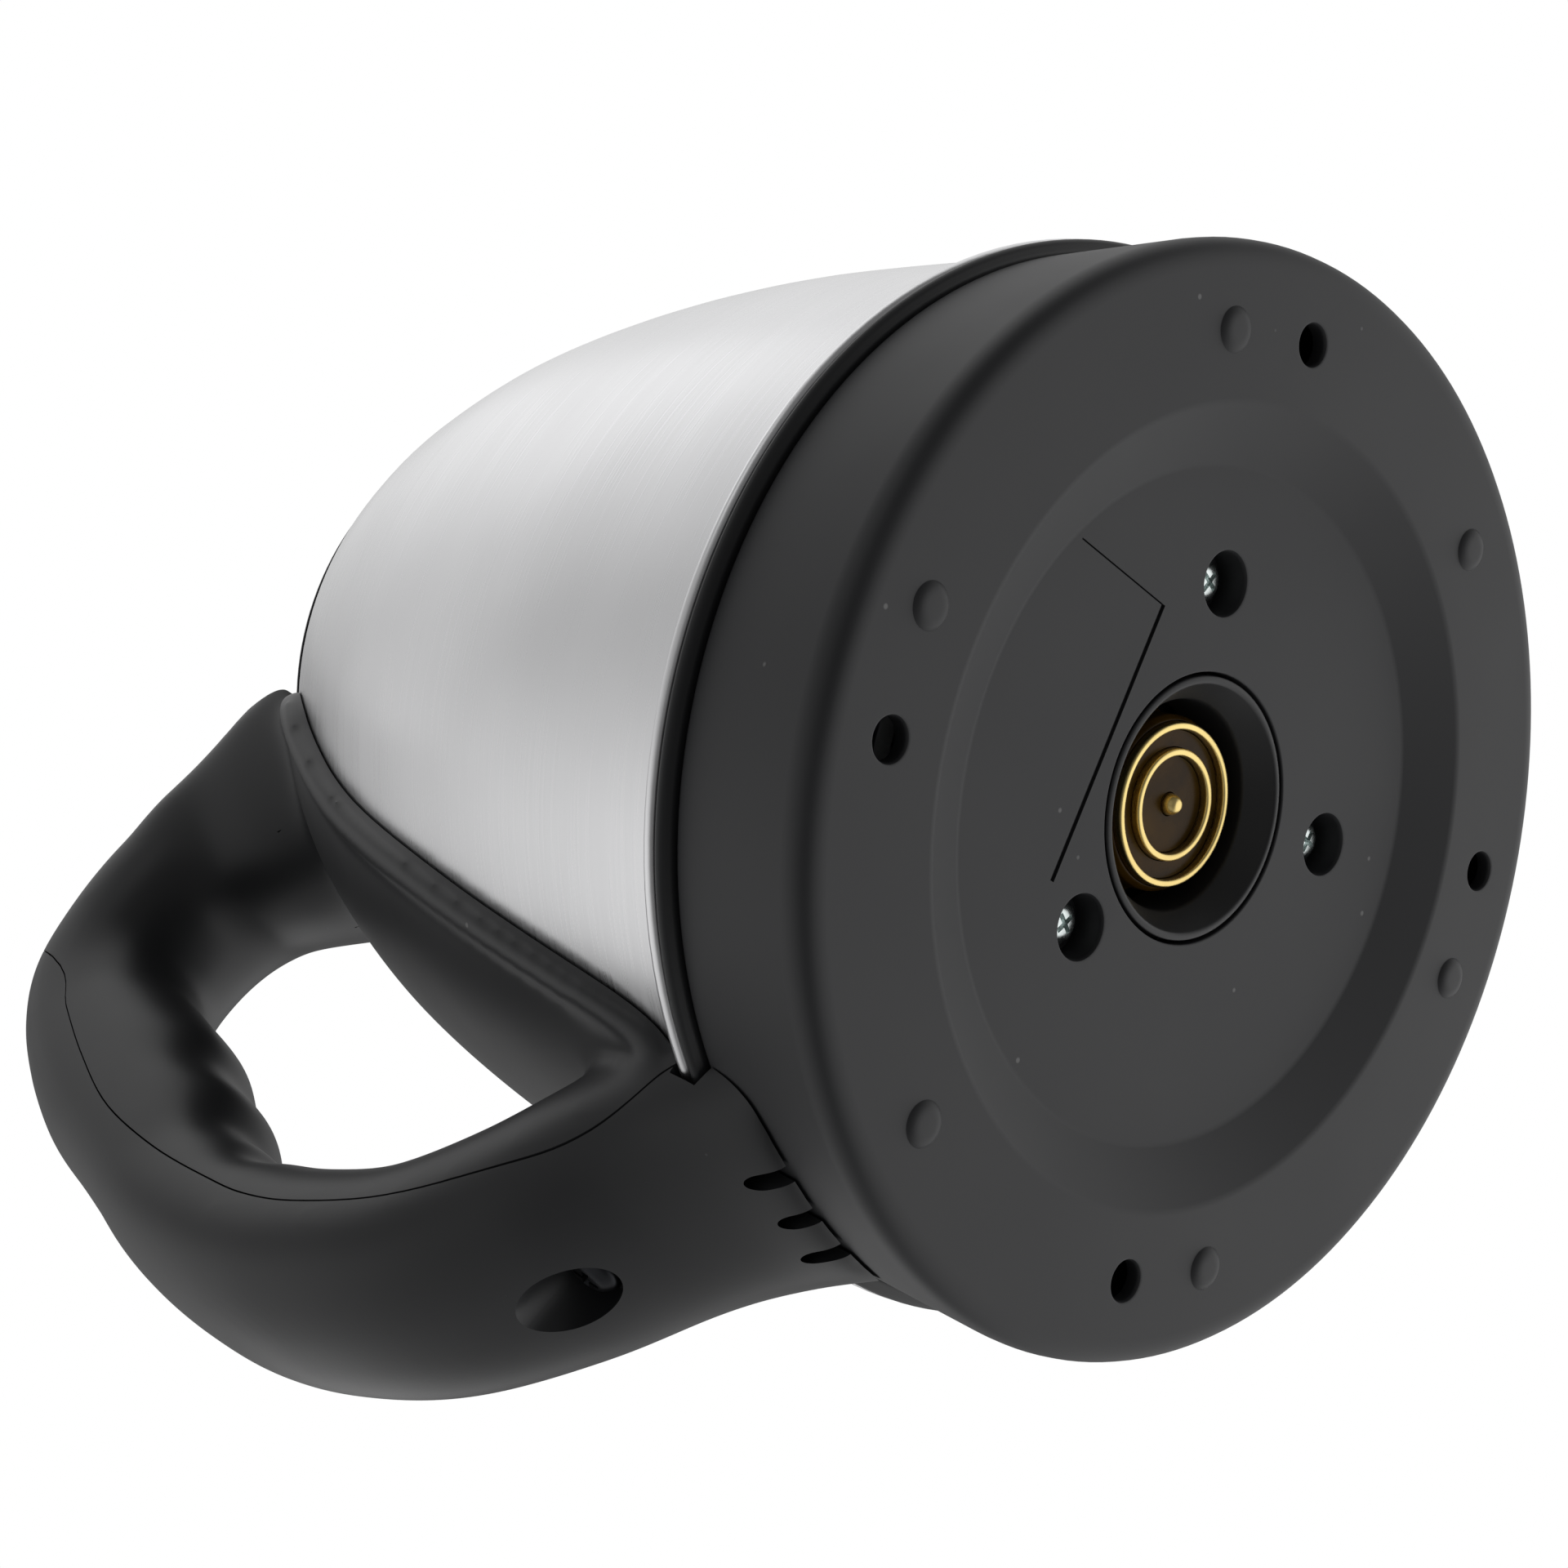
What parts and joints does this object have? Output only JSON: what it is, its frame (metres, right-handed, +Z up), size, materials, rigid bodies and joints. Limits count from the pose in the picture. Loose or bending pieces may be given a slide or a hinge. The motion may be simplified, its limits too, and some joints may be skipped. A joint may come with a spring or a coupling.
{
  "type": "electric kettle",
  "caption": "Cordless electric kettle with a domed steel body, loop handle, hinged lid, tilt switch and round base with a central contact socket.",
  "frame": {"origin": "middle of the length and width of the whole kettle, at the level of the feet", "axes": "+Z up, +X towards the spout, handle on the -X side, +Y across"},
  "size_m": [0.2108, 0.1606, 0.2074],
  "materials": {
    "brushed_steel": "satin brushed stainless steel",
    "black_plastic": "satin charcoal-black plastic",
    "base_plastic": "fine matt dark grey plastic",
    "inner_plastic": "matt black plastic",
    "amber_plastic": "dark amber-brown moulded resin",
    "brass": "plain drawn brass",
    "zinc": "bright zinc plate",
    "aluminium": "plain",
    "bimetal": "plain rolled strip",
    "silicone": "matt grey silicone"
  },
  "bodies": {
    "kettle": {"steel_body": "brushed_steel", "spout": "brushed_steel", "spout_filter": "brushed_steel", "water_floor": "brushed_steel", "top_collar": "black_plastic", "hinge_pin": "zinc", "handle_core": "black_plastic", "handle_shell": "black_plastic", "handle_screw": "zinc", "handle_bracket": "brushed_steel", "rocker_pin": "zinc", "steam_switch": "inner_plastic", "base_cover": "base_plastic", "lip_ring": "black_plastic", "cover_screw_1": "zinc", "cover_screw_2": "zinc", "cover_screw_3": "zinc", "socket_bezel": "black_plastic", "socket_insulator": "amber_plastic", "contact_ring_outer": "brass", "contact_ring_inner": "brass", "contact_pin": "brass", "control_body": "inner_plastic", "bimetal_disc": "bimetal", "heating_element": "aluminium", "element_tab_left": "aluminium", "element_tab_right": "aluminium", "heater_plate": "aluminium", "floor_seal": "silicone"},
    "lid": {"lid_shell": "black_plastic", "lid_plate": "brushed_steel", "lid_seal": "silicone", "button_spring": "zinc"},
    "button": {"lid_button": "black_plastic"},
    "bolt": {"latch_bolt": "inner_plastic"},
    "rocker": {"switch_rocker": "black_plastic"}
  },
  "joints": [
    {"name": "lid_hinge", "type": "hinge", "parent": "kettle", "child": "lid", "pos_m": [-0.0227, 0, 0.1742], "axis": [0, -1, 0], "range_deg": [0, 62]},
    {"name": "button_press", "type": "slide", "parent": "lid", "child": "button", "axis": [0, 0, -1], "range_m": [0, 0.003], "stiffness_N_per_m": 400, "deforming": ["button_spring"]},
    {"name": "latch_slide", "type": "slide", "parent": "lid", "child": "bolt", "axis": [-1, 0, 0], "range_m": [0, 0.0024]},
    {"name": "switch_tilt", "type": "hinge", "parent": "kettle", "child": "rocker", "pos_m": [-0.07097, 0, 0.06847], "axis": [0, -1, 0], "range_deg": [0, 12]}
  ],
  "couplings": [
    {"joint": "latch_slide", "follows": "button_press", "ratio": 0.8}
  ]
}
